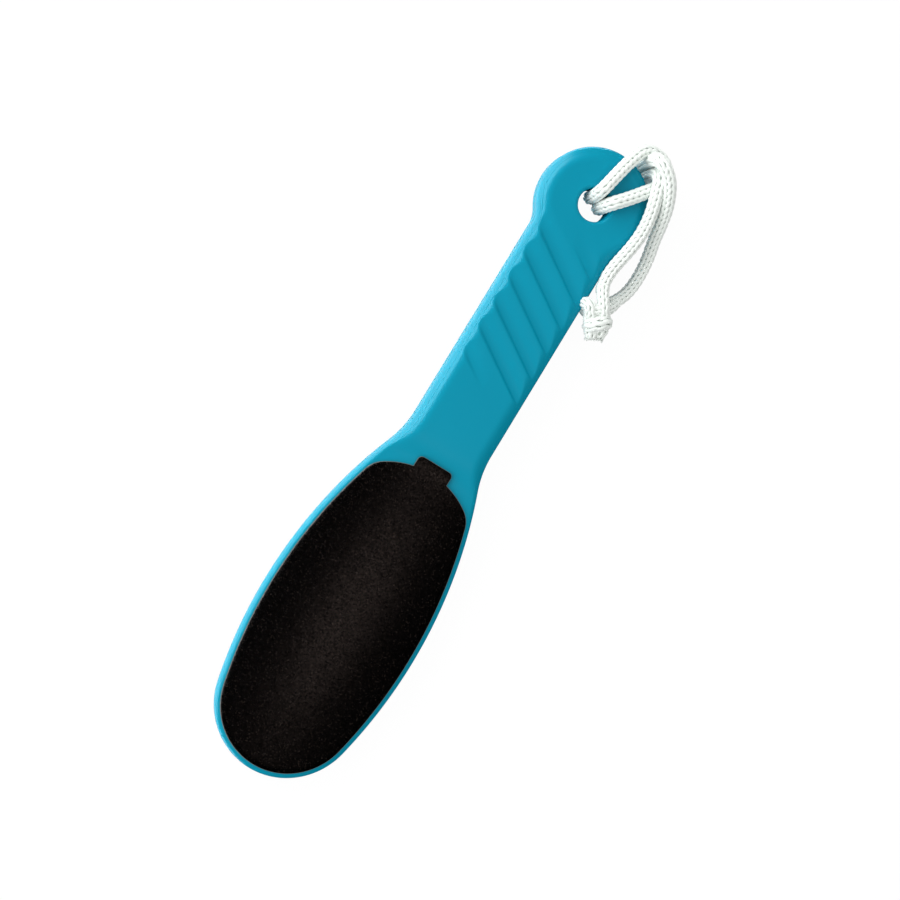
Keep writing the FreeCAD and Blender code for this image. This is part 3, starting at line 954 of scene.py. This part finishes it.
def make_world():
    """A white background that gives a graded fill, brighter from the left and above."""
    world = bpy.data.worlds.new("studio")
    bpy.context.scene.world = world
    world.use_nodes = True
    tree = world.node_tree
    path = node(tree, "ShaderNodeLightPath")
    back = tree.nodes["Background"]
    sky = node(tree, "ShaderNodeTexCoord")
    rise = node(tree, "ShaderNodeVectorMath", {1: WORLD_SIDE}, operation="DOT_PRODUCT")
    tree.links.new(sky.outputs["Generated"], rise.inputs[0])
    names = ("From Min", "From Max", "To Min", "To Max")
    fill = node(tree, "ShaderNodeMapRange", dict(zip(names, WORLD_RANGE + WORLD_FILLS)))
    tree.links.new(rise.outputs["Value"], fill.inputs["Value"])
    seen = node(tree, "ShaderNodeMapRange", {"To Max": 1.0})
    tree.links.new(path.outputs["Is Camera Ray"], seen.inputs["Value"])
    tree.links.new(fill.outputs["Result"], seen.inputs["To Min"])
    unlit = node(tree, "ShaderNodeMapRange", {"To Min": 1.0, "To Max": WORLD_GLOSS})
    tree.links.new(path.outputs["Is Glossy Ray"], unlit.inputs["Value"])
    strength = node(tree, "ShaderNodeMath", operation="MULTIPLY")
    tree.links.new(seen.outputs["Result"], strength.inputs[0])
    tree.links.new(unlit.outputs["Result"], strength.inputs[1])
    tree.links.new(strength.outputs["Value"], back.inputs["Strength"])
    back.inputs["Color"].default_value = (1, 1, 1, 1)
    world.cycles.sampling_method = "NONE"


# The floor: its size, its height under the tip and its slope, in metres
FLOOR_SIZE = 8.0
FLOOR_HEIGHT_TIP = -0.0056
FLOOR_DROP = math.radians(1.55)

# The floor's paleness for bounced light and for the camera, its glow, and its sheen on the left
FLOOR_ROUGHNESS = 0.8
FLOOR_BOUNCE = 0.55
FLOOR_PALE = 0.95
FLOOR_GLOW = 1.01
FLOOR_GLOW_SHARE = 0.95
FLOOR_SHEEN = 26.0
FLOOR_SHEEN_START = 0.01


def floor_material():
    """A pale surface that the camera sees nearly white, with a faint shadow.

    Reflections see it bright on the file's left, and it is clear from below.
    """
    material, tree, shader = new_material("pale_floor")
    shader.inputs["Roughness"].default_value = FLOOR_ROUGHNESS
    path = node(tree, "ShaderNodeLightPath")
    pale = node(tree, "ShaderNodeMapRange", {"To Min": FLOOR_BOUNCE, "To Max": FLOOR_PALE})
    tree.links.new(path.outputs["Is Camera Ray"], pale.inputs["Value"])
    tree.links.new(pale.outputs["Result"], shader.inputs["Base Color"])
    glow = node(tree, "ShaderNodeEmission", {"Strength": FLOOR_GLOW})
    share = node(tree, "ShaderNodeMath", {1: FLOOR_GLOW_SHARE}, operation="MULTIPLY")
    either = node(tree, "ShaderNodeMath", operation="MAXIMUM")
    tree.links.new(path.outputs["Is Camera Ray"], either.inputs[0])
    tree.links.new(path.outputs["Is Transmission Ray"], either.inputs[1])
    tree.links.new(either.outputs["Value"], share.inputs[0])
    mix = node(tree, "ShaderNodeMixShader")
    tree.links.new(share.outputs["Value"], mix.inputs["Fac"])
    tree.links.new(shader.outputs["BSDF"], mix.inputs[1])
    tree.links.new(glow.outputs["Emission"], mix.inputs[2])
    place = node(tree, "ShaderNodeTexCoord")
    split = node(tree, "ShaderNodeSeparateXYZ")
    tree.links.new(place.outputs["Object"], split.inputs["Vector"])
    sides = {"From Max": FLOOR_SHEEN_START, "To Max": FLOOR_SHEEN}
    left = node(tree, "ShaderNodeMapRange", sides)
    tree.links.new(split.outputs["Y"], left.inputs["Value"])
    sheen = node(tree, "ShaderNodeEmission")
    tree.links.new(left.outputs["Result"], sheen.inputs["Strength"])
    reflected = node(tree, "ShaderNodeMixShader")
    tree.links.new(path.outputs["Is Glossy Ray"], reflected.inputs["Fac"])
    tree.links.new(mix.outputs["Shader"], reflected.inputs[1])
    tree.links.new(sheen.outputs["Emission"], reflected.inputs[2])
    under = node(tree, "ShaderNodeNewGeometry")
    open_below = node(tree, "ShaderNodeMixShader")
    clear = node(tree, "ShaderNodeBsdfTransparent")
    tree.links.new(under.outputs["Backfacing"], open_below.inputs["Fac"])
    tree.links.new(reflected.outputs["Shader"], open_below.inputs[1])
    tree.links.new(clear.outputs["BSDF"], open_below.inputs[2])
    output = tree.nodes["Material Output"]
    tree.links.new(open_below.outputs["Shader"], output.inputs["Surface"])
    material.cycles.emission_sampling = "NONE"
    return material


def stage_piece(name, corners, material):
    """A four-sided sheet that belongs to the stage."""
    mesh = bpy.data.meshes.new(name)
    mesh.from_pydata(corners, [], [(0, 1, 3, 2)])
    piece = bpy.data.objects.new(name, mesh)
    bpy.context.scene.collection.objects.link(piece)
    mesh.materials.append(material)
    return piece


def make_floor():
    """The floor under the lying file."""
    half = FLOOR_SIZE / 2
    corners = [(x, y, 0) for y in (-half, half) for x in (-half, half)]
    floor = stage_piece("floor", corners, floor_material())
    floor.rotation_euler = (0, FLOOR_DROP, 0)
    floor.location = (-LENGTH / 2 * MM, 0, FLOOR_HEIGHT_TIP)


# The reflector: half its length, its lower and upper edge as (y, z), in metres, and its strength
REFLECTOR_HALF_LENGTH = 0.6
REFLECTOR_EDGES = ((0.48, -0.0115), (0.48, 0.50))
REFLECTOR_GLOW = 16.5


def reflector_material():
    """White for reflections alone, and clear for everything else."""
    material, tree, shader = new_material("reflector_white")
    tree.nodes.remove(shader)
    path = node(tree, "ShaderNodeLightPath")
    clear = node(tree, "ShaderNodeBsdfTransparent")
    glow = node(tree, "ShaderNodeEmission", {"Strength": REFLECTOR_GLOW})
    mix = node(tree, "ShaderNodeMixShader")
    tree.links.new(path.outputs["Is Glossy Ray"], mix.inputs["Fac"])
    tree.links.new(clear.outputs["BSDF"], mix.inputs[1])
    tree.links.new(glow.outputs["Emission"], mix.inputs[2])
    output = tree.nodes["Material Output"]
    tree.links.new(mix.outputs["Shader"], output.inputs["Surface"])
    material.cycles.emission_sampling = "NONE"
    return material


def make_reflector():
    """A standing card on the left of the file, that only reflections see."""
    ends = (-REFLECTOR_HALF_LENGTH, REFLECTOR_HALF_LENGTH)
    corners = [(end, *edge) for edge in REFLECTOR_EDGES for end in ends]
    stage_piece("reflector", corners, reflector_material())


def make_shells(material):
    """The two shells of the body."""
    for side in ("front", "rear"):
        mesh = shell_mesh(side + "_body")
        if side == "rear":
            turn_over(mesh)
        piece = finished(side + "_body", mesh, material, SHELL_SMOOTH_ANGLE)
        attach(piece, "body")
        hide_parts(side + "_shell")


def make_pads(grit, backing):
    """The abrasive and backing sheets of both pads."""
    layers = (
        ("backing", backing, BACKING_SHOW, PAD_GAP, BACKING_THICKNESS),
        ("abrasive", grit, 0.0, PAD_GAP + BACKING_THICKNESS, ABRASIVE_THICKNESS),
    )
    for side in ("front", "rear"):
        for name, material, grow, low, thickness in layers:
            full_name = side + "_" + name + "_sheet"
            edge = thickness / 3
            mesh = sheet_mesh(full_name, grow, low, low + thickness, edge)
            if side == "rear":
                turn_over(mesh)
            piece = finished(full_name, mesh, material, SHEET_SMOOTH_ANGLE)
            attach(piece, side + "_pad")
            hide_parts(side + "_" + name)


def main():
    """Builds the scene, and says what each piece rides on and what it replaces."""
    scene = bpy.context.scene
    scene.view_settings.view_transform = "Standard"
    make_camera()
    make_lights()
    make_world()
    make_floor()
    make_reflector()
    make_shells(shell_material())
    make_pads(abrasive_material(), backing_material())
    white = cord_material("white_yarn", FILAMENT_TONE_AND_CORE_SHADE)
    frayed = cord_material("frayed_yarn", FRAY_TINT)
    # The core's darker colours are painted shade that shows through the gaps of the knit
    shaded = cord_material("core_yarn_painted_shade", CORE_PAINTED_SHADE, FILAMENT_TONE_AND_CORE_SHADE)
    pieces, path = make_cord(white, shaded, frayed)
    for name, node_name in (("cord", "hang_cord"), ("knot", "cord_knot"), ("tails", "cord_tails")):
        for piece in pieces[name]:
            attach(piece, "body")
            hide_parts(node_name)


main()
